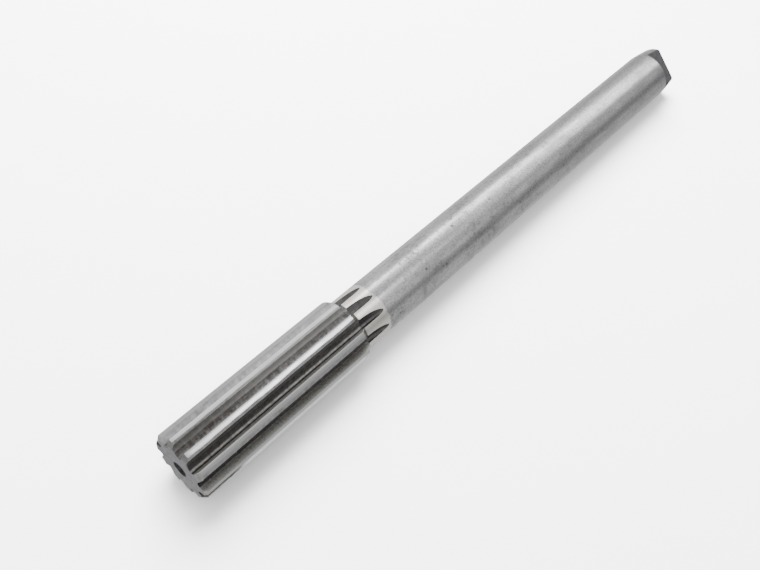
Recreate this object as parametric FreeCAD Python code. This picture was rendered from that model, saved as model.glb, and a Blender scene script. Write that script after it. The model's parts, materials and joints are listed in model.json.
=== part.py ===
"""A straight-shank machine reamer: one bar of high-speed steel, turned, milled and ground.

The reamer is drawn along +X, cutting end at x = 0, and is then laid on the plane z = 0 in the
pose it comes to rest in: on the rear corners of two neighbouring teeth and the end of its shank.
Angles about the axis are measured from +Z towards -Y, which is the way the teeth follow each other
when the reamer cuts right-handed. All lengths are in millimetres and all angles in degrees.
"""

import FreeCAD, Part
import math
import os
from FreeCAD import Placement, Rotation, Vector

# ---- sizes of the bar ----
overall_length = 217.5
cutting_diameter = 19.0
shank_diameter = 16.0
lands_length = 55.2            # from the front face to the rear end of the lands
lead_length = 1.0              # 45 degree bevel lead, the part that cuts
rear_corner_round = 0.6        # rounding where the lands end
rear_root_round = 0.5          # hollow rounding where the rear slope meets the shank

# ---- teeth ----
half_turn_spacings = (32.7, 33.6, 36.2, 38.0, 39.5)    # unequal, and repeated on the other half
margin_width = 0.3             # cylindrical strip behind the cutting edge
land_width = 1.3               # margin and primary clearance together
primary_clearance = 5.0
secondary_clearance = 28.0
lead_clearance = 6.0

# ---- flutes, milled with one form cutter ----
flute_core_radius = 6.72       # from the axis to the flute's floor
flute_corner_radius = 0.7      # between the floor and the radial cutting face
flute_back_radius = 4.2        # hollow curve from the floor up the back of the next tooth
flute_floor_tilt = 14.0        # slope of the floor where the two curves meet
flute_back_slope = 68.0        # slope where the back curve ends, outside the teeth
flute_cutter_radius = 30.0
flute_full_depth_length = 56.0  # from here the cutter lifts out and leaves a pointed run-out

# ---- tang and centre holes ----
tang_length = 8.2
tang_thickness = 8.0
tang_cone_angle = 6.5          # the tail is turned down by this slope on each side
tang_crown = 0.05              # how far the turned-down tail bulges between its ends
tang_end_round = 0.8
tang_shoulder_radius = 1.5     # left by the cutter that mills the flats
tang_behind_first_edge = 62.4  # angle from the first cutting edge to the normal of a flat
centre_rim_diameter = 4.5
centre_pilot_diameter = 2.0
centre_pilot_depth = 5.0
centre_cone_angle = 60.0
drill_point_angle = 118.0

# ---- worked out from the sizes above ----
cutting_radius = cutting_diameter / 2
shank_radius = shank_diameter / 2
shank_end = overall_length - tang_length
rear_slope_end = lands_length + cutting_radius - shank_radius    # 45 degrees
clear = 2.0                    # how far every cutter overshoots the steel


def xz(x, z):
    """A point in the plane through the axis."""
    return Vector(x, 0, z)


def yz(y, z):
    """A point in a plane square to the axis; z is outwards and y leads the cutting edge."""
    return Vector(0, y, z)


def line(start, end):
    return Part.makeLine(start, end)


def arc(start, middle, end):
    return Part.Arc(start, middle, end).toShape()


def filled(edges):
    """The flat face inside a closed run of edges."""
    return Part.Face(Part.Wire(edges))


def polygon(points):
    """The flat face inside straight lines through the points."""
    return Part.Face(Part.makePolygon(list(points) + [points[0]]))


def turned(face):
    """A half section in the plane through the axis, turned into a round solid."""
    return face.revolve(Vector(0, 0, 0), Vector(1, 0, 0), 360)


def rolled(shape, angle):
    """A copy of the shape turned about the reamer's axis, from +Z towards -Y."""
    copy = shape.copy()
    copy.rotate(Vector(0, 0, 0), Vector(1, 0, 0), angle)
    return copy


def corner_arc(corner, towards_start, towards_end, radius):
    """Start, middle and end of the arc that rounds a corner between two directions."""
    first = Vector(towards_start).normalize()
    second = Vector(towards_end).normalize()
    half_angle = first.getAngle(second) / 2
    setback = radius / math.tan(half_angle)
    bisector = (first + second).normalize()
    middle = corner + bisector * (radius / math.sin(half_angle) - radius)
    return corner + first * setback, middle, corner + second * setback


def turned_blank():
    """The bar before milling: head with bevel lead, rear slope, shank and turned-down tail."""
    tail_radius = shank_radius - tang_length * math.tan(math.radians(tang_cone_angle))
    lead_start = xz(0, cutting_radius - lead_length)
    lead_end = xz(lead_length, cutting_radius)
    rear_corner = xz(lands_length, cutting_radius)
    rear_root = xz(rear_slope_end, shank_radius)
    tail_start = xz(shank_end, shank_radius)
    tail_corner = xz(overall_length, tail_radius)
    rear_arc = corner_arc(rear_corner, xz(-1, 0), xz(1, -1), rear_corner_round)
    root_arc = corner_arc(rear_root, xz(-1, 1), xz(1, 0), rear_root_round)
    tail_arc = corner_arc(tail_corner, tail_start - tail_corner, xz(0, -1), tang_end_round)
    crown_side = xz(tail_start.z - tail_corner.z, tang_length).normalize()
    tail_crown = (tail_start + tail_arc[0]) / 2 + crown_side * tang_crown
    return turned(filled([
        line(xz(0, 0), lead_start),
        line(lead_start, lead_end),
        line(lead_end, rear_arc[0]),
        arc(*rear_arc),
        line(rear_arc[2], root_arc[0]),
        arc(*root_arc),
        line(root_arc[2], tail_start),
        arc(tail_start, tail_crown, tail_arc[0]),
        arc(*tail_arc),
        line(tail_arc[2], xz(overall_length, 0)),
        line(xz(overall_length, 0), xz(0, 0)),
    ]))


def flute_curves():
    """Points of the form cutter's section, from the foot of the radial face to the back's end."""
    corner_centre = yz(flute_corner_radius, flute_core_radius + flute_corner_radius)

    def out(angle):
        return yz(math.sin(math.radians(angle)), -math.cos(math.radians(angle)))

    back_centre = corner_centre + out(flute_floor_tilt) * (flute_corner_radius - flute_back_radius)
    face_foot = corner_centre + out(-90) * flute_corner_radius
    corner_middle = corner_centre + out((flute_floor_tilt - 90) / 2) * flute_corner_radius
    floor = corner_centre + out(flute_floor_tilt) * flute_corner_radius
    back_middle = back_centre + out((flute_floor_tilt + flute_back_slope) / 2) * flute_back_radius
    back_end = back_centre + out(flute_back_slope) * flute_back_radius
    return face_foot, corner_middle, floor, back_middle, back_end


def flute_section(x):
    """The form cutter's section at x: radial face, corner curve, floor and back curve."""
    face_foot, corner_middle, floor, back_middle, back_end = flute_curves()
    face_top = yz(0, cutting_radius + clear)
    back_top = yz(back_end.y, cutting_radius + clear)
    section = filled([
        line(face_top, face_foot),
        arc(face_foot, corner_middle, floor),
        arc(floor, back_middle, back_end),
        line(back_end, back_top),
        line(back_top, face_top),
    ])
    section.translate(Vector(x, 0, 0))
    return section


def flute_cutter():
    """The steel one pass removes: a straight groove, then the round cutter lifting out."""
    groove = flute_section(-clear).extrude(Vector(flute_full_depth_length + clear, 0, 0))
    cutter_axis = xz(flute_full_depth_length, flute_core_radius + flute_cutter_radius)
    lift_angle = math.degrees(math.acos(1 - (cutting_radius - flute_core_radius) / flute_cutter_radius))
    run_out = flute_section(flute_full_depth_length).revolve(cutter_axis, Vector(0, -1, 0), lift_angle)
    return groove.fuse(run_out)


def land_points():
    """Cutting edge, end of the margin and heel of the land, in the section square to the axis."""
    edge = yz(0, cutting_radius)
    margin_angle = math.degrees(margin_width / cutting_radius)
    margin_end = Rotation(Vector(1, 0, 0), margin_angle).multVec(edge)
    slope = math.radians(margin_angle + primary_clearance)
    relief_width = land_width - margin_width
    heel = margin_end - yz(math.cos(slope), math.sin(slope)) * relief_width
    return edge, margin_end, heel


def gap_middle(spacing):
    """Angle from a cutting edge back to the middle of the gap before the next tooth."""
    gap = math.degrees(math.asin(flute_curves()[-1].y / cutting_radius))
    return spacing - gap / 2


def clearance_cutter(spacing):
    """The steel ground off behind the margin: primary clearance, then the steeper secondary."""
    margin_end, heel = land_points()[1:]
    slope = math.radians(secondary_clearance)
    gap = math.radians(gap_middle(spacing))
    reach = (heel.y * math.cos(gap) + heel.z * math.sin(gap)) / math.cos(slope - gap)
    back_end = heel - yz(math.cos(slope), math.sin(slope)) * reach
    outside = cutting_radius + clear
    back_top = back_end * (outside / back_end.Length)
    margin_top = margin_end * (outside / margin_end.Length)
    section = polygon([margin_end, heel, back_end, back_top, margin_top])
    section.translate(Vector(-clear, 0, 0))
    return section.extrude(Vector(clear + rear_slope_end, 0, 0))


def lead_cutter(spacing):
    """The clearance ground on the bevel lead, along its 45 degree cutting edge."""
    width = cutting_radius * math.sin(math.radians(gap_middle(spacing)))
    drop = width * math.tan(math.radians(lead_clearance))
    section = polygon([yz(0, 0), yz(-width, -drop), yz(-width, clear), yz(0, clear)])
    section.rotate(Vector(0, 0, 0), Vector(0, 1, 0), -45)
    section.translate(xz(-clear, cutting_radius - lead_length - clear))
    return section.extrude(xz(1, 1) * (lead_length + 2 * clear))


def tooth_cutters():
    """All the steel removed between and behind the teeth."""
    cutters = []
    angle = 0.0
    for spacing in half_turn_spacings * 2:
        for cutter in (flute_cutter(), clearance_cutter(spacing), lead_cutter(spacing)):
            cutters.append(rolled(cutter, angle))
        angle += spacing
    return cutters


def tang_cutter():
    """The steel milled off one side of the tail, with the cutter's radius at the shoulder."""
    half = tang_thickness / 2
    top = shank_radius + clear
    root = corner_arc(xz(shank_end, half), xz(0, 1), xz(1, 0), tang_shoulder_radius)
    section = filled([
        line(xz(shank_end, top), root[0]),
        arc(*root),
        line(root[2], xz(overall_length + clear, half)),
        line(xz(overall_length + clear, half), xz(overall_length + clear, top)),
        line(xz(overall_length + clear, top), xz(shank_end, top)),
    ])
    section.translate(Vector(0, -top, 0))
    return section.extrude(Vector(0, 2 * top, 0))


def centre_drill():
    """A centre hole opening at x = 0: a 60 degree seat and a pilot with a drill point."""
    rim = centre_rim_diameter / 2
    pilot = centre_pilot_diameter / 2
    seat_slope = math.tan(math.radians(centre_cone_angle / 2))
    seat_depth = (rim - pilot) / seat_slope
    point_depth = pilot / math.tan(math.radians(drill_point_angle / 2))
    return turned(polygon([
        xz(-clear, 0),
        xz(-clear, rim + clear * seat_slope),
        xz(seat_depth, pilot),
        xz(centre_pilot_depth, pilot),
        xz(centre_pilot_depth + point_depth, 0),
    ]))


def resting_placement():
    """Lays the reamer down on two neighbouring teeth and the end of the shank's cylinder."""
    heel = land_points()[2]
    next_edge = Rotation(Vector(1, 0, 0), half_turn_spacings[0]).multVec(yz(0, cutting_radius))
    seat_line = next_edge - heel
    roll = 180 + math.degrees(math.atan2(seat_line.z, -seat_line.y))
    head_height = abs(heel.cross(next_edge).x) / seat_line.Length
    lean = math.atan2(head_height - shank_radius, shank_end - lands_length)
    turn = Rotation(Vector(0, 1, 0), math.degrees(lean)) * Rotation(Vector(1, 0, 0), roll)
    touch = Rotation(Vector(0, 1, 0), math.degrees(lean)).multVec(xz(lands_length, -head_height))
    return Placement(Vector(-overall_length / 2 * math.cos(lean), 0, -touch.z), turn)


def reamer():
    flat = rolled(tang_cutter(), tang_behind_first_edge)
    tail_centre = centre_drill().mirror(Vector(overall_length / 2, 0, 0), Vector(1, 0, 0))
    removed = tooth_cutters() + [flat, rolled(flat, 180), centre_drill(), tail_centre]
    body = turned_blank().cut(removed).Solids[0]
    body.Placement = resting_placement()
    return body


os.makedirs("parts", exist_ok=True)
solid = reamer()
solid.exportStep("parts/reamer.step")
print("reamer: valid", solid.isValid(), "volume", round(solid.Volume, 1), "box", solid.BoundBox)
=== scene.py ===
import json
import math

import bpy
import numpy as np
from mathutils import Matrix, Quaternion, Vector


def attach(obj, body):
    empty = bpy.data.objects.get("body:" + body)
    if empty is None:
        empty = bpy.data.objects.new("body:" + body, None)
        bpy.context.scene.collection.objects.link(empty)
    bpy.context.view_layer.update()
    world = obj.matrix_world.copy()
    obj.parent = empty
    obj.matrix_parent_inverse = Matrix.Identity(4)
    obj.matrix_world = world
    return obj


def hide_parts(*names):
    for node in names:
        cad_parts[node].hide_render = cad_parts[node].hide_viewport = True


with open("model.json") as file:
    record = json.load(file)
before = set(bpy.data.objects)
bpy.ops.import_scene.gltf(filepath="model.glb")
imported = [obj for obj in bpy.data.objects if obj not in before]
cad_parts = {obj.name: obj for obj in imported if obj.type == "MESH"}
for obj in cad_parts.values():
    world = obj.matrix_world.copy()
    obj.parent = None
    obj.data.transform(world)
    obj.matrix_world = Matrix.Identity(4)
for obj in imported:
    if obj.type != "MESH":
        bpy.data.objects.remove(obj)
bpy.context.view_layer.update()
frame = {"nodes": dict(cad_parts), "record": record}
print("frame loaded:", sorted(frame["nodes"]))

# camera
cameraSettings = {
    "place": (-0.14853, -0.08751, 0.19379),   # metres
    "looksAt": (-0.03444, 0.00419, 0.008),
    "roll": 4.38,                             # degrees, right side up
    "lens": 40.126,                           # mm on a 36 mm sensor
}


def makeCamera(c):
    data = bpy.data.cameras.new("benchCamera")
    data.lens, data.sensor_width = c["lens"], 36.0
    data.clip_start, data.clip_end = 0.01, 20.0
    camera = bpy.data.objects.new("benchCamera", data)
    bpy.context.scene.collection.objects.link(camera)
    forward = Vector(c["looksAt"]) - Vector(c["place"])
    camera.location = c["place"]
    camera.rotation_mode = "QUATERNION"
    camera.rotation_quaternion = (forward.to_track_quat("-Z", "Y")
                                  @ Quaternion((0, 0, 1), math.radians(c["roll"])))
    bpy.context.scene.camera = camera


makeCamera(cameraSettings)
print("camera placed")

# sizes of the reamer, in mm and degrees
steel = {
    "length": 217.5, "cutRadius": 9.5, "shankRadius": 8.0,
    "lands": 55.2, "lead": 1.0, "rearRound": 0.6, "rootRound": 0.5,
    "spacings": (32.7, 33.6, 36.2, 38.0, 39.5) * 2,
    "margin": 0.3, "land": 1.3, "primary": 5.0, "secondary": 28.0, "leadClearance": 6.0,
    "core": 6.72, "cornerRadius": 0.7, "backRadius": 4.2, "tilt": 14.0, "cutterRadius": 30.0,
    "fullDepth": 56.0, "groovesTo": 3.747,
}
tail = {
    "length": 8.2, "half": 4.0, "slope": 6.5, "crown": 0.05, "endRound": 0.8,
    "shoulderRadius": 1.5, "flatAt": 62.4,
}
centreHole = {"rim": 2.25, "pilot": 1.0, "pilotDepth": 5.0, "seatAngle": 60.0, "pointAngle": 118.0}
shankStart = 56.907            # where the straight shank wall begins
tailStart = steel["length"] - tail["length"]
rearEnd = steel["lands"] + steel["cutRadius"] - steel["shankRadius"]
noSurface = 99.0               # a distance that stands for no metal met
halvings = 28                  # steps of each search by halving
searchRadii = (6.0, 9.6)       # the milled surface lies between these
widestFlute = 23.0             # degrees, past the widest flute's far edge

edgeAngles = np.concatenate([[0.0], np.cumsum(steel["spacings"])])[:-1]
spacings = np.array(steel["spacings"])

# columns of the grid between one cutting edge and the next
segments = {"margin": 2, "primary": 3, "relief": 6, "back": 10, "corner": 6, "face": 5}
perTooth = sum(segments.values())
columns = perTooth * len(spacings)


def rad(a):
    return np.radians(a)


def blankRadius(x):
    # radius of the turned bar: 45 degree lead, lands, rounded 45 degree rear slope, shank
    s = steel
    reach = 1 / math.tan(rad(67.5))
    cone = s["cutRadius"] - s["lead"] + x
    start = s["lands"] - s["rearRound"] * reach
    rounded = s["cutRadius"] - s["rearRound"] + np.sqrt(
        np.clip(s["rearRound"] ** 2 - np.clip(x - start, 0, None) ** 2, 0, None))
    slope = s["cutRadius"] - (x - s["lands"])
    rootX = rearEnd + s["rootRound"] * reach
    hollow = s["shankRadius"] + s["rootRound"] - np.sqrt(
        np.clip(s["rootRound"] ** 2 - np.clip(rootX - x, 0, None) ** 2, 0, None))
    arcEnd = start + s["rearRound"] * math.sin(rad(45))
    hollowStart = rootX - s["rootRound"] * math.sin(rad(45))
    rear = np.where(x < arcEnd, rounded, np.where(x < hollowStart, slope, hollow))
    return np.where(x < start, np.minimum(cone, s["cutRadius"]), rear)


def heelPoint(landWidth):
    # end of the land in the edge's own frame, across and up: past the margin and first clearance
    s = steel
    marginAngle = s["margin"] / s["cutRadius"]
    slope = marginAngle + rad(s["primary"])
    ground = landWidth - s["margin"]
    return (s["cutRadius"] * math.sin(marginAngle) + ground * math.cos(slope),
            s["cutRadius"] * math.cos(marginAngle) - ground * math.sin(slope))


def heelAngle(landWidth):
    y, z = heelPoint(landWidth)
    return np.degrees(np.arctan2(y, z))


def toothTop(x, phi, landWidth):
    # distance from the axis to the top of a tooth, phi degrees behind its edge: the least of the
    # turned bar, the margin's circle, two flat clearances p / cos(phi - slope), and the lead's
    s = steel
    marginAngle = s["margin"] / s["cutRadius"] / rad(1)
    firstSlope = marginAngle + s["primary"]
    first = s["cutRadius"] * math.cos(rad(s["primary"]))
    heelY, heelZ = heelPoint(landWidth)
    second = heelY * math.sin(rad(s["secondary"])) + heelZ * math.cos(rad(s["secondary"]))
    ground = np.minimum(first / np.cos(rad(phi - firstSlope)),
                        second / np.cos(rad(phi - s["secondary"])))
    top = np.where(phi <= marginAngle, s["cutRadius"], ground)
    drop = math.sqrt(2) * math.tan(rad(s["leadClearance"]))
    lead = (s["cutRadius"] - s["lead"] + x) / (np.cos(rad(phi)) + drop * np.sin(rad(phi)))
    toothed = np.minimum(np.minimum(top, lead), blankRadius(x))
    return np.where(x > rearEnd, blankRadius(x), toothed)


cornerY, cornerZ = steel["cornerRadius"], steel["core"] + steel["cornerRadius"]
backY = cornerY + (steel["cornerRadius"] - steel["backRadius"]) * math.sin(rad(steel["tilt"]))
backZ = cornerZ - (steel["cornerRadius"] - steel["backRadius"]) * math.cos(rad(steel["tilt"]))
joinY = cornerY + steel["cornerRadius"] * math.sin(rad(steel["tilt"]))
joinZ = cornerZ - steel["cornerRadius"] * math.cos(rad(steel["tilt"]))
cutterAxis = steel["core"] + steel["cutterRadius"]


def lifted(z, x):
    # height in the form cutter's own section of a point at height z: past the full depth the
    # section swings up on a circle about the cutter's axis
    run = np.clip(x - steel["fullDepth"], 0, None)
    return cutterAxis - np.sqrt((cutterAxis - z) ** 2 + run ** 2)


def dropped(v, x):
    # the other way round: true height of the section's height v at x
    run = np.clip(x - steel["fullDepth"], 0, None)
    return cutterAxis - np.sqrt(np.clip((cutterAxis - v) ** 2 - run ** 2, 0, None))


def sectionFloor(y):
    # height of the form cutter's outline over y: a small corner arc, then the hollow back arc
    corner = cornerZ - np.sqrt(np.clip(steel["cornerRadius"] ** 2 - (y - cornerY) ** 2, 0, None))
    back = backZ - np.sqrt(np.clip(steel["backRadius"] ** 2 - (y - backY) ** 2, 0, None))
    return np.where(y < joinY, corner, np.where(y < steel["groovesTo"], back, noSurface))


def fluteRadius(x, psi):
    # distance from the axis to the milled surface psi degrees ahead of the cutting face, by halving
    x, psi = np.broadcast_arrays(x, psi)
    s, c = np.sin(rad(psi)), np.cos(rad(psi))
    low, high = np.full(x.shape, searchRadii[0]), np.full(x.shape, searchRadii[1])
    cut = lifted(high * c, x) > sectionFloor(high * s)
    for step in range(halvings):
        middle = (low + high) / 2
        gone = lifted(middle * c, x) > sectionFloor(middle * s)
        low, high = np.where(gone, low, middle), np.where(gone, middle, high)
    return np.where(cut, high, noSurface)


def crossing(x, spacing, landWidth, fromPsi, toPsi):
    # angle where the milled surface meets the tooth in front, between one inside the flute
    # and one outside it, by halving
    inside, outside = fromPsi + 0 * x, toPsi + 0 * x
    for step in range(halvings):
        middle = (inside + outside) / 2
        deep = fluteRadius(x, middle) < toothTop(x, spacing - middle, landWidth)
        inside, outside = np.where(deep, middle, inside), np.where(deep, outside, middle)
    return inside


def waves(x, seed, size, depth):
    # smooth wandering line: a sum of sines of falling wavelength with seeded phases
    draw = np.random.default_rng(seed)
    total = 0 * x
    for octave in range(4):
        turns = x * 2 * math.pi / (size / 1.9 ** octave)
        total = total + np.sin(turns + draw.uniform(0, 6.28)) / 1.5 ** octave
    return total * depth / 2


def evenAngles(index):
    # the same number of columns in every gap, evenly spread inside it
    gap, part = np.divmod(index, perTooth)
    turn, gap = np.divmod(gap, len(spacings))
    return edgeAngles[gap.astype(int)] + spacings[gap.astype(int)] * part / perTooth + 360 * turn


def tipOfRunOut():
    # where the cutter leaves the shank: its lowest point is level with the shank's surface
    low, high = rearEnd, rearEnd + 20
    for step in range(halvings + 12):
        x = np.array((low + high) / 2)
        deepest = np.degrees(np.arctan2(cornerY, dropped(cornerZ, x)))
        if fluteRadius(x, deepest) < steel["shankRadius"]:
            low = float(x)
        else:
            high = float(x)
    return low


lastLeaf = tipOfRunOut() - 0.012      # last row of the run-outs, just before their points


def toothSection(x, tooth, landWidth):
    # one gap's columns on every row x: angles and distances from the axis, crossing angles first
    spacing = spacings[tooth]
    at = np.minimum(x, lastLeaf)
    deepest = np.degrees(np.arctan2(cornerY, dropped(cornerZ, at)))
    right = crossing(at, spacing, landWidth, deepest, widestFlute)
    footRadius = dropped(cornerZ, at)
    edgeTop = toothTop(at, 0 * at, landWidth)
    leftCut = crossing(at, spacing, landWidth, deepest, 0.0)
    left = np.where(footRadius < edgeTop, 0.0, leftCut)
    join = np.degrees(np.arctan2(joinY, dropped(joinZ, at)))
    join = np.minimum(join, left + (right - left) * 0.45)     # the corner narrows with the run-out
    marginEnd = np.degrees(steel["margin"] / steel["cutRadius"]) + 0 * at
    ends = [0 * at, marginEnd, heelAngle(landWidth), spacing - right, spacing - join,
            spacing - left, spacing + 0 * at]
    angles = []
    for (name, count), a, b in zip(segments.items(), ends[:-1], ends[1:]):
        angles.append(a + (b - a) * np.arange(count) / count)
    phi = np.concatenate(angles, axis=1)
    r = toothTop(x, phi, landWidth)
    milled = fluteRadius(x, spacing - phi)
    firstBack = segments["margin"] + segments["primary"] + segments["relief"]
    firstFace = perTooth - segments["face"]
    column = np.arange(perTooth)
    inFlute = (column >= firstBack) & (column < firstFace)
    r = np.where(inFlute, np.minimum(r, milled), r)
    foot = np.minimum(footRadius, edgeTop)
    up = (column - firstFace) / segments["face"]
    r = np.where(column >= firstFace, foot + (edgeTop - foot) * up, r)
    r = np.where(x > lastLeaf, blankRadius(x), r)
    return edgeAngles[tooth] + phi, r


def smooth(t):
    t = np.clip(t, 0, 1)
    return t * t * (3 - 2 * t)


tangColumns = {"flat": 64, "side": 96, "first": 23, "startAngle": 1.5, "blend": 10.0}


def tangAngles(width):
    # flats take a fixed share of the columns; width is half the angle each flat spans
    t = tangColumns
    knots = np.array([t["first"] - t["side"], t["first"], t["first"] + t["flat"],
                      t["first"] + t["flat"] + t["side"], t["first"] + 2 * t["flat"] + t["side"],
                      t["first"] + 2 * t["flat"] + 2 * t["side"]])
    out = []
    for w in np.ravel(width):
        turned = np.array([w - 180, -w, w, 180 - w, 180 + w, 360 - w])
        out.append(np.interp(np.arange(columns), knots, tail["flatAt"] + turned))
    return np.array(out)


def tangPlaces():
    # for each column: whether it lies on a flat, and its blend from there to the round side
    t = tangColumns
    k = (np.arange(columns) - t["first"]) % (t["flat"] + t["side"])
    onFlat = k <= t["flat"]
    away = np.where(onFlat, 0, np.minimum(k - t["flat"], t["flat"] + t["side"] - k))
    return onFlat, smooth(away / t["blend"])


def tailRadius(x):
    # shank, then a cone with a slight crown 4 c u (1 - u), then the quarter round at the very end
    a = rad(tail["slope"])
    endRadius = steel["shankRadius"] - tail["length"] * math.tan(a)
    half = (math.pi / 2 + a) / 2
    setback = tail["endRound"] / math.tan(half)
    roundStart = steel["length"] - setback * math.cos(a)
    centreR = endRadius - setback
    centreX = steel["length"] - tail["endRound"]
    u = np.clip((x - tailStart) / (roundStart - tailStart), 0, 1)
    narrowing = endRadius + setback * math.sin(a) - steel["shankRadius"]
    cone = steel["shankRadius"] + narrowing * u + tail["crown"] * 4 * u * (1 - u)
    rounded = centreR + np.sqrt(np.clip(tail["endRound"] ** 2 - (x - centreX) ** 2, 0, None))
    return np.where(x < tailStart, steel["shankRadius"], np.where(x < roundStart, cone, rounded))


def holeProfile():
    # x and radius down the centre hole from its rim: seat, pilot, drill point
    h = centreHole
    seat = (h["rim"] - h["pilot"]) / math.tan(rad(h["seatAngle"] / 2))
    point = h["pilotDepth"] + h["pilot"] / math.tan(rad(h["pointAngle"] / 2))
    seatRows, pilotRows = 7, 5
    x = np.concatenate([np.linspace(0, seat, seatRows),
                        np.linspace(seat, h["pilotDepth"], pilotRows)[1:],
                        [(h["pilotDepth"] + point) / 2, point]])
    r = np.concatenate([np.linspace(h["rim"], h["pilot"], seatRows),
                        np.full(pilotRows - 1, h["pilot"]), [h["pilot"] / 2, 0.0]])
    return x, r


rowCounts = {"lead": 13, "lands": 70, "rear": 26, "runOut": 36, "spread": 12, "shank": 30,
             "gather": 12, "wall": 12, "shoulder": 9, "flats": 12, "endRound": 9, "cap": 9}


# lengths over which the columns change their angles, in mm
blends = {"afterLeaf": 0.03, "spread": 8.0, "gather": 22.0, "gap": 0.1, "beforeRear": 0.25}
gathered = blends["gather"] - blends["gap"]
endRoundLength = 0.71          # the rows of the end's quarter round
sideWall, sideHollow = 0.9, 1.6    # how far the round sides run on beside the wall and its hollow
landWaves = {"seed": 40, "size": 21.0, "depth": 0.09}


def bodyRows():
    # x of every plane row from the front face to the start of the tang
    n, b = rowCounts, blends
    easing = np.sin(np.linspace(0, math.pi / 2, n["runOut"]))
    leafEnd = lastLeaf + b["afterLeaf"]
    rearStart = steel["lands"] - b["beforeRear"]
    gatherStart = tailStart - b["gather"]
    pieces = [
        np.linspace(0, steel["lead"], n["lead"]),
        np.linspace(steel["lead"], rearStart, n["lands"])[1:],
        np.linspace(rearStart, shankStart, n["rear"])[1:],
        (shankStart + (lastLeaf - shankStart) * easing)[1:],
        leafEnd + b["spread"] * np.linspace(0, 1, n["spread"]) ** 1.5,
        np.linspace(leafEnd + b["spread"], gatherStart, n["shank"])[1:],
        gatherStart + gathered * np.sin(np.linspace(0, math.pi / 2, n["gather"]))[1:],
    ]
    return np.concatenate(pieces)[:, None]


def bodyBlock():
    # head, run-outs and shank: gap by gap, then evenly spread, then gathered for the tang's flats
    x = bodyRows()
    angle, radius = [], []
    for tooth in range(len(spacings)):
        wander = waves(x, landWaves["seed"] + tooth, landWaves["size"], landWaves["depth"])
        landWidth = steel["land"] + wander
        phi, r = toothSection(x, tooth, landWidth)
        angle.append(phi)
        radius.append(r)
    phi, r = np.concatenate(angle, axis=1), np.concatenate(radius, axis=1)
    even = 360 * np.arange(columns) / columns
    phi = phi + (even - phi) * smooth((x - lastLeaf - blends["afterLeaf"]) / blends["spread"])
    tangStart = tangAngles([tangColumns["startAngle"]])
    phi = phi + (tangStart - phi) * smooth((x - tailStart + blends["gather"]) / gathered)
    return x + 0 * phi, r, phi


def frontBlocks(edgeR, edgePhi):
    # centre hole from its bottom outwards, then the front face out to its toothed outline
    target = evenAngles(np.arange(columns) + segments["face"] + 1.0)
    holeX, holeR = holeProfile()
    holeX, holeR = holeX[::-1, None], holeR[::-1, None]
    t = np.linspace(1, 0, rowCounts["cap"])[1:-1, None] ** 1.25
    capPhi = edgePhi + (target - edgePhi) * t ** 0.9
    capR = edgeR + (centreHole["rim"] - edgeR) * t
    return [(holeX + 0 * target, holeR + 0 * target, target + 0 * holeX),
            (0 * capPhi, capR, capPhi)]


def tangBlock():
    # shoulder wall, shoulder hollow and flats; the round sides run on beside them
    onFlat, away = tangPlaces()
    wallTop = tail["half"] + tail["shoulderRadius"]
    wallEnd = math.degrees(math.acos(wallTop / steel["shankRadius"]))
    widths = np.linspace(tangColumns["startAngle"], wallEnd, rowCounts["wall"])
    wallH = steel["shankRadius"] * np.cos(rad(widths))
    turn = np.linspace(0, math.pi / 2, rowCounts["shoulder"])[1:]
    hollowX = tailStart + tail["shoulderRadius"] * (1 - np.cos(turn))
    hollowH = wallTop - tail["shoulderRadius"] * np.sin(turn)
    roundStart = steel["length"] - endRoundLength
    flatX = np.linspace(tailStart + tail["shoulderRadius"], roundStart, rowCounts["flats"])[1:]
    roundTurn = np.linspace(0, math.pi / 2, rowCounts["endRound"])[1:]
    endX = roundStart + endRoundLength * np.sin(roundTurn)
    cutX = np.concatenate([np.full(len(wallH), tailStart), hollowX, flatX, endX])
    cutH = np.concatenate([wallH, hollowH, np.full(len(flatX) + len(endX), tail["half"])])
    sideX = np.concatenate([tailStart + np.linspace(0.0, sideWall, len(wallH)),
                            tailStart + np.linspace(sideWall, sideHollow, len(hollowX) + 1)[1:],
                            flatX, endX])
    sideX = np.maximum(sideX, cutX)
    phi = tangAngles(np.degrees(np.arccos(cutH / tailRadius(cutX))))
    x = cutX[:, None] + (sideX - cutX)[:, None] * away
    fromFlat = (phi - tail["flatAt"] + 90) % 180 - 90
    return x, np.where(onFlat, cutH[:, None] / np.cos(rad(fromFlat)), tailRadius(x)), phi


def endBlocks(edgeR, edgePhi):
    # the tang's end face and its centre hole
    holeX, holeR = [values[:, None] for values in holeProfile()]
    t = np.linspace(0, 1, rowCounts["cap"])[1:-1, None]
    r = edgeR + (centreHole["rim"] - edgeR) * t
    level = 0 * edgePhi
    return [(steel["length"] + 0 * r, r, edgePhi + 0 * r),
            (steel["length"] - holeX + level, holeR + level, edgePhi + 0 * holeX)]


def reamerGrid():
    body, tang = bodyBlock(), tangBlock()
    front, end = frontBlocks(body[1][0], body[2][0]), endBlocks(tang[1][-1], tang[2][-1])
    blocks = [*front, body, tang, *end]
    names = ["frontHole", "frontFace", "body", "tang", "endFace", "endHole"]
    starts = dict(zip(names, np.concatenate([[0], np.cumsum([len(b[0]) for b in blocks])])[:-1]))
    return [np.concatenate([b[i] for b in blocks]) for i in range(3)], starts


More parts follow.
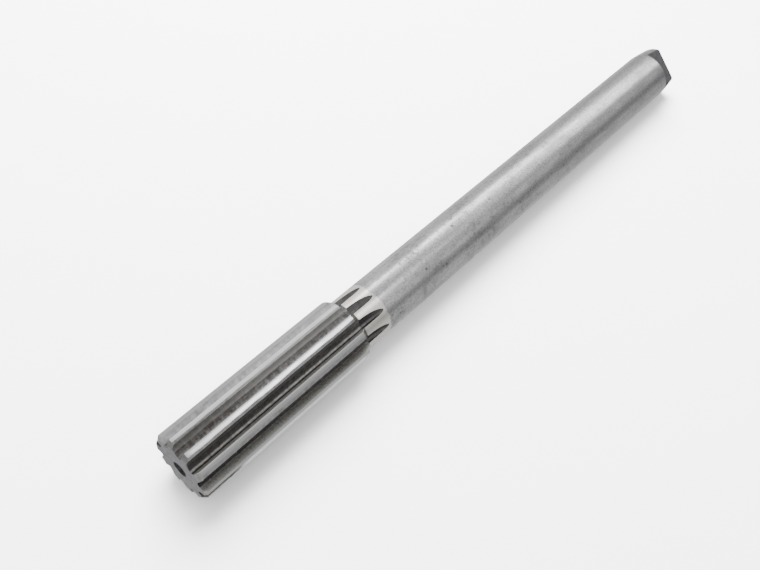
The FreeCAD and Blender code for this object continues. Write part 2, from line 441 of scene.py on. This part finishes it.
def reamerFrame():
    # axis and up directions of the tool as it lies, from the record's mounts
    mounts = {m["name"]: m for m in frame["record"]["mounts"]}
    shank, flat = mounts["shank"], mounts["tang_flat_upper"]
    along = np.array(shank["axis"], float)
    along /= np.linalg.norm(along)
    normal = np.array(flat["axis"], float)
    normal -= along * (normal @ along)
    normal /= np.linalg.norm(normal)
    across = np.cross(along, normal)
    s, c = math.sin(rad(tail["flatAt"])), math.cos(rad(tail["flatAt"]))
    up, side = c * normal - s * across, -s * normal - c * across
    centre = np.array(shank["pos_m"], float)
    origin = centre - along * (shankStart + tailStart) / 2 / 1000
    return origin, along, side, up


(gridX, gridR, gridPhi), rowStarts = reamerGrid()
origin, along, side, up = reamerFrame()
print("grid", gridX.shape, "triangles about", gridX.size * 2)


# a few thousandths of a mm drawn in, so that the smooth surface stays inside the CAD's faceted box
inset = {"along": 0.99995, "across": 0.9994, "shift": (0.0000090, 0.0, 0.0000052)}


def worldPoints(x, r, phi):
    # from length along the axis, distance from it and angle round it, to metres in the scene
    x, r = x * inset["along"], r * inset["across"]
    y, z = -r * np.sin(rad(phi)), r * np.cos(rad(phi))
    placed = (x[..., None] * along + y[..., None] * side + z[..., None] * up) / 1000
    return origin + inset["shift"] + placed


def stitchGrid(name, points, materials, faceMaterial, sharpAngle):
    # rings of points joined into quads, closed round and closed by one point at each end
    rows, cols = points.shape[:2]
    rings = points[1:-1].reshape(-1, 3)
    verts = np.concatenate([rings, points[:1, 0], points[-1:, 0]])
    j = np.arange(rows - 3)[:, None] * cols
    k = np.arange(cols)[None, :]
    nextK = (k + 1) % cols
    quads = np.stack([j + k, j + nextK, j + cols + nextK, j + cols + k], axis=-1).reshape(-1, 4)
    k = np.arange(cols)
    nextK = (k + 1) % cols
    last = (rows - 3) * cols
    first = np.stack([np.full(cols, len(rings)), nextK, k], axis=-1)
    final = np.stack([last + k, last + nextK, np.full(cols, len(rings) + 1)], axis=-1)
    loops = np.concatenate([first.ravel(), quads.ravel(), final.ravel()])
    sizes = np.concatenate([np.full(cols, 3), np.full(len(quads), 4), np.full(cols, 3)])
    mesh = bpy.data.meshes.new(name)
    mesh.vertices.add(len(verts))
    mesh.vertices.foreach_set("co", verts.ravel())
    mesh.loops.add(len(loops))
    mesh.loops.foreach_set("vertex_index", loops)
    mesh.polygons.add(len(sizes))
    mesh.polygons.foreach_set("loop_start", np.concatenate([[0], np.cumsum(sizes)[:-1]]))
    for material in materials:
        mesh.materials.append(material)
    mesh.polygons.foreach_set("material_index", faceMaterial.ravel())
    mesh.update(calc_edges=True)
    mesh.shade_smooth()
    mesh.set_sharp_from_angle(angle=math.radians(sharpAngle))
    mesh.validate()
    piece = bpy.data.objects.new(name, mesh)
    bpy.context.scene.collection.objects.link(piece)
    return piece


def node(tree, kind, inputs, **settings):
    # one shader node: its settings, then each input linked to a socket or set to a value
    made = tree.nodes.new("ShaderNode" + kind)
    for key, value in settings.items():
        setattr(made, key, value)
    for key, value in inputs.items():
        if isinstance(value, bpy.types.NodeSocket):
            tree.links.new(value, made.inputs[key])
        else:
            made.inputs[key].default_value = value
    return made


def axisCoordinates(tree):
    # object coordinates brought to the reamer's own axis, in mm: x along it from the cutting end
    turn = Matrix((along, side, up)).transposed().to_euler()
    place = node(tree, "TexCoord", {})
    inputs = {"Vector": place.outputs["Object"], "Location": Vector(origin), "Rotation": turn,
              "Scale": (0.001, 0.001, 0.001)}
    return node(tree, "Mapping", inputs, vector_type="TEXTURE").outputs[0]


def stretched(tree, vector, scale):
    return node(tree, "VectorMath", {0: vector, 1: scale}, operation="MULTIPLY").outputs[0]


def grain(tree, vector, scale, detail=3.0, roughness=0.55):
    return node(tree, "TexNoise", {"Vector": vector, "Scale": scale, "Detail": detail,
                                   "Roughness": roughness}).outputs[0]


def levels(tree, value, low, high, toLow=0.0, toHigh=1.0):
    # value brought from low..high to toLow..toHigh and held inside them
    return node(tree, "MapRange", {"Value": value, "From Min": low, "From Max": high,
                                   "To Min": toLow, "To Max": toHigh}).outputs[0]


def times(tree, a, b):
    return node(tree, "Math", {0: a, 1: b}, operation="MULTIPLY").outputs[0]


def plus(tree, a, b):
    return node(tree, "Math", {0: a, 1: b}, operation="ADD").outputs[0]


def blended(tree, factor, a, b):
    # colour a where factor is 0, colour b where it is 1
    mix = node(tree, "Mix", {"Factor": factor}, data_type="RGBA")
    for socket, value in ((mix.inputs[6], a), (mix.inputs[7], b)):
        if isinstance(value, bpy.types.NodeSocket):
            tree.links.new(value, socket)
        else:
            socket.default_value = (*value, 1.0)
    return mix.outputs[2]


def steelShader(name):
    material = bpy.data.materials.new(name)
    material.use_nodes = True
    shader = material.node_tree.nodes["Principled BSDF"]
    shader.inputs["Metallic"].default_value = 1.0
    return material, material.node_tree, shader


def finishShader(tree, shader, colour, roughness, height, depth):
    tree.links.new(colour, shader.inputs["Base Color"])
    tree.links.new(roughness, shader.inputs["Roughness"])
    bump = node(tree, "Bump", {"Height": height, "Strength": 1.0, "Distance": depth})
    tree.links.new(bump.outputs[0], shader.inputs["Normal"])


shankLook = {
    # front and rear: the shank's colour darkens towards the tail as painted shade, for the dimmer
    # sky its rear mirrors
    "front": (0.53, 0.53, 0.535), "rear": (0.42, 0.42, 0.43), "rearAt": 205.0,   # colour over x
    "grime": (0.09, 0.09, 0.095), "film": 0.34, "blotches": 0.55, "marks": 0.75, "specks": 0.34,
    "neck": (0.74, 0.725, 0.68), "neckEnds": 65.2, "neckWaver": 0.3,
    "pitsFade": (110.0, 185.0), "pitsLeft": 0.12,
    "pit": (0.9, 0.30, 0.45), "blot": (2.3, 0.26, 0.62),      # cell in mm, reach, share without one
    "roughness": (0.20, 0.27), "blotchRough": 0.12, "depth": 0.000016,
}


def spots(tree, vector, size, reach, share):
    # soft round marks: one per cell of the given size, kept where the cell's random value is above
    # share; reach is a part of the cell
    cells = node(tree, "TexVoronoi", {"Vector": vector, "Scale": 1.0 / size})
    chance = node(tree, "SeparateXYZ", {0: cells.outputs["Color"]}).outputs[0]
    kept = levels(tree, chance, share, share + 0.25)
    return times(tree, levels(tree, cells.outputs["Distance"], reach * 0.45, reach, 1.0, 0.0), kept)


def shankMaterial(c):
    # ground round the axis, then handled: clouds of grime, clusters of pits, a clean cream neck
    material, tree, shader = steelShader("wornShank")
    where = axisCoordinates(tree)
    x = node(tree, "SeparateXYZ", {0: where}).outputs[0]
    rings = grain(tree, stretched(tree, where, (5.0, 0.08, 0.08)), 1.0, 4.0, 0.7)
    clouds = grain(tree, stretched(tree, where, (0.5, 1.0, 1.0)), 0.16, 6.0, 0.6)
    streaks = grain(tree, stretched(tree, where, (0.1, 1.0, 1.0)), 0.7, 5.0, 0.6)
    blots = grain(tree, where, 0.6, 5.0, 0.65)
    speckle = grain(tree, where, 1.6, 4.0, 0.75)

    # where the neck is, and where the shank is pitted
    edge = plus(tree, x, levels(tree, streaks, 0.3, 0.7, -c["neckWaver"], c["neckWaver"]))
    neck = levels(tree, edge, c["neckEnds"] - 0.2, c["neckEnds"] + 0.3, 1.0, 0.0)
    handled = node(tree, "Math", {0: 1.0, 1: neck}, operation="SUBTRACT").outputs[0]
    fading = levels(tree, x, *c["pitsFade"], 1.0, c["pitsLeft"])
    pitted = times(tree, levels(tree, clouds, 0.38, 0.60, 0.15, 1.0), fading)

    # colour: a film of grime, blotches, specks, then pits; the neck over them all
    # painted shade: the base colour darkens from the neck back to rearAt
    colour = blended(tree, levels(tree, x, c["neckEnds"], c["rearAt"]), c["front"], c["rear"])
    cloudy = plus(tree, clouds, times(tree, streaks, 0.6))
    colour = blended(tree, levels(tree, cloudy, 0.62, 1.0, 0.0, c["film"]), colour, c["grime"])
    mottle = times(tree, levels(tree, blots, 0.50, 0.68), pitted)
    colour = blended(tree, times(tree, mottle, c["blotches"]), colour, c["grime"])
    small = times(tree, spots(tree, where, *c["pit"]), pitted)
    large = times(tree, spots(tree, where, *c["blot"]), pitted)
    marks = node(tree, "Math", {0: small, 1: large}, operation="MAXIMUM").outputs[0]
    fine = times(tree, levels(tree, speckle, 0.44, 0.66, 0.0, c["specks"]), handled)
    colour = blended(tree, fine, colour, c["grime"])
    colour = blended(tree, times(tree, marks, c["marks"]), colour, c["grime"])
    colour = blended(tree, neck, colour, c["neck"])

    clear = levels(tree, clouds, 0.35, 0.65, *c["roughness"])
    rough = plus(tree, clear, times(tree, mottle, c["blotchRough"]))
    worn = times(tree, plus(tree, times(tree, marks, -1.0), times(tree, blots, 1.4)), handled)
    height = plus(tree, times(tree, rings, 0.4), worn)
    finishShader(tree, shader, colour, rough, height, c["depth"])
    return material


def stainAndShadeOf(tree):
    return node(tree, "Attribute", {}, attribute_name="stainAndShade").outputs["Fac"]


landLook = {
    "bright": (0.74, 0.74, 0.74), "dull": (0.62, 0.62, 0.625), "paintedShade": (0.12, 0.12, 0.12),
    "roughness": (0.17, 0.26), "depth": 0.000004,
}


def landMaterial(c):
    # lengthwise grinding lines: noise drawn out along the axis
    material, tree, shader = steelShader("groundLand")
    where = axisCoordinates(tree)
    lines = grain(tree, stretched(tree, where, (0.03, 1.0, 1.0)), 7.0, 3.0)
    patches = grain(tree, stretched(tree, where, (0.35, 1.0, 1.0)), 0.5, 4.0)
    worn = levels(tree, plus(tree, lines, patches), 0.8, 1.25)
    colour = blended(tree, worn, c["bright"], c["dull"])
    # only tooth D's land takes this dark colour: painted shade for the shadowed bench it mirrors
    colour = blended(tree, stainAndShadeOf(tree), colour, c["paintedShade"])
    rough = levels(tree, patches, 0.35, 0.7, *c["roughness"])
    finishShader(tree, shader, colour, rough, lines, c["depth"])
    return material


fluteLook = {
    "clear": (0.50, 0.50, 0.505), "stainAndShade": (0.085, 0.079, 0.075), "deep": (0.02, 0.019, 0.02),
    "fleck": (0.45, 0.45, 0.45), "fleckShare": 0.7,
    "uneven": 0.11,                  # how far the mottling moves the stain-and-shade level either way
    "roughness": (0.30, 0.46), "depth": 0.000008,
}


def fluteMaterial(c):
    # the stain-and-shade attribute says how dark each strip is; mottling and lengthwise lines break
    # it up
    material, tree, shader = steelShader("stainedShadedFlute")
    where = axisCoordinates(tree)
    mottle = grain(tree, stretched(tree, where, (1.0, 0.8, 0.8)), 0.8, 6.0, 0.65)
    lines = grain(tree, stretched(tree, where, (0.05, 1.0, 1.0)), 5.0, 3.0)
    stainAndShade = stainAndShadeOf(tree)
    broken = plus(tree, mottle, times(tree, lines, 0.35))
    swing = levels(tree, broken, 0.48, 0.88, -c["uneven"], c["uneven"])
    held = levels(tree, stainAndShade, 0.0, 0.3, 0.2, 1.0)
    uneven = plus(tree, stainAndShade, times(tree, swing, held))
    colour = blended(tree, levels(tree, uneven, 0.0, 0.55), c["clear"], c["stainAndShade"])
    colour = blended(tree, levels(tree, uneven, 0.5, 1.0), colour, c["deep"])
    flecked = grain(tree, stretched(tree, where, (0.7, 1.2, 1.2)), 1.4, 2.0)
    flecks = levels(tree, flecked, 0.72, 0.76, 0.0, c["fleckShare"])
    colour = blended(tree, times(tree, flecks, stainAndShade), colour, c["fleck"])
    rough = levels(tree, mottle, 0.3, 0.7, *c["roughness"])
    height = plus(tree, mottle, times(tree, lines, 0.5))
    finishShader(tree, shader, colour, rough, height, c["depth"])
    return material


faceLook = {
    "clean": (0.74, 0.74, 0.73), "tan": (0.27, 0.26, 0.235), "black": (0.02, 0.02, 0.02),
    "speck": (0.11, 0.10, 0.095), "metallic": 0.85, "roughness": (0.28, 0.42), "depth": 0.000008,
}


def cuttingFaceMaterial(c):
    # clean where the stain-and-shade attribute is 0, speckled tan at a half, black at 1
    material, tree, shader = steelShader("cuttingFace")
    shader.inputs["Metallic"].default_value = c["metallic"]
    where = axisCoordinates(tree)
    specks = grain(tree, where, 2.0, 4.0, 0.7)
    stainAndShade = stainAndShadeOf(tree)
    colour = blended(tree, levels(tree, stainAndShade, 0.0, 0.5), c["clean"], c["tan"])
    share = levels(tree, stainAndShade, 0.1, 0.5, 0.0, 0.8)
    spotted = times(tree, levels(tree, specks, 0.50, 0.64), share)
    colour = blended(tree, spotted, colour, c["speck"])
    colour = blended(tree, levels(tree, stainAndShade, 0.5, 1.0), colour, c["black"])
    rough = levels(tree, specks, 0.3, 0.7, *c["roughness"])
    finishShader(tree, shader, colour, rough, specks, c["depth"])
    return material


# milled, turned and drilled steel: colour, and its darker cloud
plainLook = {
    "roughness": (0.34, 0.46), "depth": 0.000006,
    "endFace": ((0.28, 0.28, 0.295), (0.18, 0.18, 0.19)),
    "milledRunOut": ((0.125, 0.122, 0.12), (0.08, 0.078, 0.078)),
    # the tang's flats: dark milled steel, partly painted shade for the shade they lie in
    "milledTangShaded": ((0.17, 0.17, 0.175), (0.13, 0.13, 0.135)),
    "drilledSteel": ((0.07, 0.07, 0.075), (0.04, 0.04, 0.04)),
    # the rear slope's dark tan is partly painted shade for the slope's shading
    "rearSlope": ((0.17, 0.165, 0.145), (0.05, 0.048, 0.045)),
    "leadChamfer": ((0.50, 0.50, 0.49), (0.30, 0.30, 0.29)),
}


def plainMaterial(c, name):
    # turned or milled steel with faint cloudy wear
    material, tree, shader = steelShader(name)
    where = axisCoordinates(tree)
    clouds = grain(tree, where, 0.7, 5.0, 0.6)
    fine = grain(tree, where, 4.0, 3.0)
    worn = levels(tree, plus(tree, clouds, times(tree, fine, 0.3)), 0.5, 0.85)
    colour = blended(tree, worn, *c[name])
    rough = levels(tree, clouds, 0.3, 0.7, *c["roughness"])
    finishShader(tree, shader, colour, rough, plus(tree, clouds, fine), c["depth"])
    return material


flutes = fluteMaterial(fluteLook)
finishes = {                         # zone of the grid and the finish it takes
    "land": landMaterial(landLook),
    "relief": flutes,
    "flute": flutes,
    "face": cuttingFaceMaterial(faceLook),
    "frontFace": plainMaterial(plainLook, "endFace"),
    "leaf": plainMaterial(plainLook, "milledRunOut"),
    "shank": shankMaterial(shankLook),
    "tang": plainMaterial(plainLook, "milledTangShaded"),
    "centreHole": plainMaterial(plainLook, "drilledSteel"),
    "rear": plainMaterial(plainLook, "rearSlope"),
    "lead": plainMaterial(plainLook, "leadChamfer"),
}
zones = list(finishes)
print("materials made")


zoneEnds = {
    "teeth": 0.9,                    # mm past the lands
    "rear": (-0.05, 0.1),            # mm past the lands, and past the slope's own end
    "face": 61.8,                    # x where the cutting faces end
}


def faceZones():
    # which finish each cell of the grid takes, by its row's place and its column's place
    number = {name: k for k, name in enumerate(zones)}
    rows = np.arange(gridX.shape[0] - 1)[:, None]
    middleX = (gridX[1:] + gridX[:-1]) / 2
    cell = np.arange(columns) % perTooth
    ends = np.cumsum(list(segments.values()))
    body = rows >= rowStarts["body"]
    onLand, onRelief = cell < ends[1], (cell >= ends[1]) & (cell < ends[2])
    onFlute, onFace = (cell >= ends[2]) & (cell < ends[4]), cell >= ends[4]
    toothed = body & (middleX < steel["lands"] + zoneEnds["teeth"])
    before, after = zoneEnds["rear"]
    slope = body & (middleX > steel["lands"] + before) & (middleX < rearEnd + after)
    milled = body & (middleX < lastLeaf)
    faceThere = body & (middleX < zoneEnds["face"])
    inLeaf = milled & (middleX > rearEnd)
    onFlat, away = tangPlaces()
    layers = [                       # each one lies over those before it
        ("land", toothed & onLand),
        ("relief", toothed & onRelief),
        ("rear", slope & (onLand | onRelief)),
        ("lead", body & (middleX < steel["lead"]) & (onLand | onRelief)),
        ("flute", milled & onFlute),
        ("face", faceThere & onFace),
        ("leaf", inLeaf & (onFlute | (onFace & faceThere))),
        ("tang", (rows >= rowStarts["tang"]) & onFlat & np.roll(onFlat, -1)),
    ]
    zone = np.full((len(rows), columns), number["shank"])
    for name, inside in layers:
        zone = np.where(inside, number[name], zone)
    zone[:rowStarts["frontFace"]] = number["centreHole"]
    zone[rowStarts["frontFace"] - 1:rowStarts["body"]] = number["frontFace"]
    zone[rowStarts["endFace"] - 1:] = number["frontFace"]
    zone[rowStarts["endHole"]:] = number["centreHole"]
    return zone


# how dark each strip is, 0 clean to 1 black: mostly stains, with painted shade and light where
# noted; gap by gap
# from the first edge on: at the front, at the rear, and from x to x in mm where it changes; gaps
# that aren't named take the first entry
stainsAndShade = {
    "land": {
        # tooth D's land (gap 3) darker: painted shade for the shadowed bench it mirrors
        "rest": (0.0, 0.0, 10, 50), 3: (0.45, 0.35, 5, 50),
    },
    "relief": {
        "rest": (0.5, 0.4, 5, 50), 0: (0.38, 0.22, 5, 30), 1: (0.30, 0.30, 5, 50),
        2: (0.25, 0.28, 5, 50), 9: (0.10, 0.02, 5, 45),
    },
    "upper": {
        # gap 0's upper back lighter than its lower back: painted light against the shade its hollow
        # catches below land A
        "rest": (0.6, 0.5, 5, 50), 0: (0.34, 0.12, 5, 30), 1: (0.26, 0.24, 5, 50),
        # gap 2, the C-D flute: upper and lower back near black, stain and painted shade of the deep
        # flute
        2: (0.80, 0.62, 5, 40), 9: (0.26, 0.18, 5, 45),
    },
    "lower": {
        "rest": (0.7, 0.6, 5, 50), 0: (0.50, 0.44, 5, 35), 1: (0.42, 0.42, 5, 50),
        # gap 9's lower back, seen just above tooth A's edge, darker than its upper back: partly a
        # painted shadow line
        2: (0.80, 0.60, 5, 40), 9: (0.42, 0.34, 5, 45),
    },
    "face": {
        "rest": (0.6, 0.6, 5, 50), 1: (0.78, 0.75, 5, 50), 2: (0.30, 0.38, 5, 40),
        # gap 3's face, tooth E's: dark at the front end, clean from 14 mm on
        3: (0.85, 0.0, 9, 14),
    },
}
upperColumns = 4               # columns of the flute's back that the upper strip takes


def addStainAndShade(piece):
    # one value at every point, the front and rear values blended along the axis
    cell = np.arange(columns) % perTooth
    ends = np.cumsum(list(segments.values()))
    limits = [ends[1], ends[2], ends[2] + upperColumns, ends[4]]
    strip = np.searchsorted(limits, cell, side="right")
    values = np.array([[entries.get(gap, entries["rest"]) for gap in range(len(spacings))]
                       for entries in stainsAndShade.values()])
    front, rear, start, stop = values[strip, np.arange(columns) // perTooth].T
    level = front + (rear - front) * smooth((gridX - start) / (stop - start))
    poles = [0.5, 0.5]
    layer = piece.data.attributes.new("stainAndShade", "FLOAT", "POINT")
    layer.data.foreach_set("value", np.concatenate([level[1:-1].ravel(), poles]).astype(np.float32))


points = worldPoints(gridX, gridR, gridPhi)
reamer = stitchGrid("reamer_body", points, list(finishes.values()), faceZones(), sharpAngle=19)
addStainAndShade(reamer)
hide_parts("reamer")
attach(reamer, "root")
print("reamer made,", len(reamer.data.polygons), "faces")

# bench and light
benchSettings = {"size": 3.0, "colour": (0.86, 0.86, 0.87), "roughness": 0.6}


def makeBench(b):
    mesh = bpy.data.meshes.new("bench")
    h = b["size"] / 2
    mesh.from_pydata([(-h, -h, 0), (h, -h, 0), (h, h, 0), (-h, h, 0)], [], [(0, 1, 2, 3)])
    bench = bpy.data.objects.new("bench", mesh)
    bpy.context.scene.collection.objects.link(bench)
    material = bpy.data.materials.new("paleBench")
    material.use_nodes = True
    shader = material.node_tree.nodes["Principled BSDF"]
    shader.inputs["Base Color"].default_value = (*b["colour"], 1)
    shader.inputs["Roughness"].default_value = b["roughness"]
    shader.inputs["Specular IOR Level"].default_value = 0.0
    mesh.materials.append(material)
    bench.visible_glossy = False     # the steel mirrors the sky below the horizon instead


makeBench(benchSettings)

lights = {
    "backSoftbox": {
        "place": (0.16, 0.24, 0.47), "aim": (0.0, 0.0, 0.0), "size": 0.44, "power": 26.0,
    },
}


def makeLights(lights):
    for name, l in lights.items():
        data = bpy.data.lights.new(name, "AREA")
        data.shape, data.size, data.energy = "SQUARE", l["size"], l["power"]
        lamp = bpy.data.objects.new(name, data)
        bpy.context.scene.collection.objects.link(lamp)
        lamp.location = l["place"]
        lamp.rotation_mode = "QUATERNION"
        lamp.rotation_quaternion = (Vector(l["aim"]) - Vector(l["place"])).to_track_quat("-Z", "Y")
        lamp.visible_glossy = False


makeLights(lights)

sky = {
    "room": 1.9,                    # even light that falls on the bench
    "steps": [                      # brightness that the steel mirrors, by height from -1 to 1
        (-1.0, 0.8), (-0.5, 0.82), (-0.25, 0.78), (-0.06, 0.50), (0.08, 0.38),
        (0.22, 0.56), (0.46, 1.08), (0.68, 0.84), (1.0, 0.82),
    ],
    "boxes": [                      # direction, sharpness, brightness of each soft light mirrored
        ((0.37, -0.27, 0.89), 150.0, 6.5),
        ((0.32, -0.55, 0.77), 60.0, 0.6),
        ((0.54, 0.53, 0.655), 170.0, 6.5),
        ((0.62, 0.44, 0.65), 170.0, 4.4),
        ((0.69, 0.28, 0.67), 170.0, 7.5),
        ((0.75, 0.07, 0.66), 170.0, 6.0),
        ((0.785, -0.12, 0.61), 200.0, 6.0),
        ((0.45, 0.88, 0.10), 4.0, 0.75),
        ((-0.93, 0.21, 0.25), 9.0, -0.5),
    ],
}


def skySteps(tree, height, steps):
    # colour ramp over height, its brightest step scaled back up to its own value
    ramp = node(tree, "ValToRGB", {0: levels(tree, height, -1.0, 1.0)})
    ramp.color_ramp.interpolation = "EASE"
    while len(ramp.color_ramp.elements) < len(steps):
        ramp.color_ramp.elements.new(0.5)
    top = max(level for z, level in steps)
    for element, (z, level) in zip(ramp.color_ramp.elements, steps):
        element.position = (z + 1) / 2
        element.color = (level / top, level / top, level / top, 1)
    return times(tree, ramp.outputs["Color"], top)


def softBox(tree, toward, direction, sharpness, brightness):
    # brightness times a power of the cosine between the looked-at and the given direction
    aim = Vector(direction).normalized()
    facing = node(tree, "VectorMath", {0: toward, 1: aim}, operation="DOT_PRODUCT").outputs["Value"]
    facing = node(tree, "Math", {0: facing, 1: 0.0}, operation="MAXIMUM").outputs[0]
    lobe = node(tree, "Math", {0: facing, 1: sharpness}, operation="POWER").outputs[0]
    return times(tree, lobe, brightness)


def makeSky(s):
    # the steel mirrors the steps and boxes; everything else is lit by the even room
    world = bpy.data.worlds.new("studio")
    world.use_nodes = True
    tree = world.node_tree
    tree.nodes.clear()
    toward = node(tree, "TexCoord", {}).outputs["Generated"]
    height = node(tree, "SeparateXYZ", {0: toward}).outputs["Z"]
    total = skySteps(tree, height, s["steps"])
    for box in s["boxes"]:
        total = plus(tree, softBox(tree, toward, *box), total)
    mirrored = node(tree, "LightPath", {}).outputs["Is Glossy Ray"]
    strength = node(tree, "Mix", {"Factor": mirrored, "A": s["room"], "B": total})
    light = node(tree, "Background", {"Color": (1.0, 1.0, 1.0, 1.0),
                                      "Strength": strength.outputs["Result"]})
    node(tree, "OutputWorld", {0: light.outputs[0]})
    bpy.context.scene.world = world


makeSky(sky)
print("bench and light made")
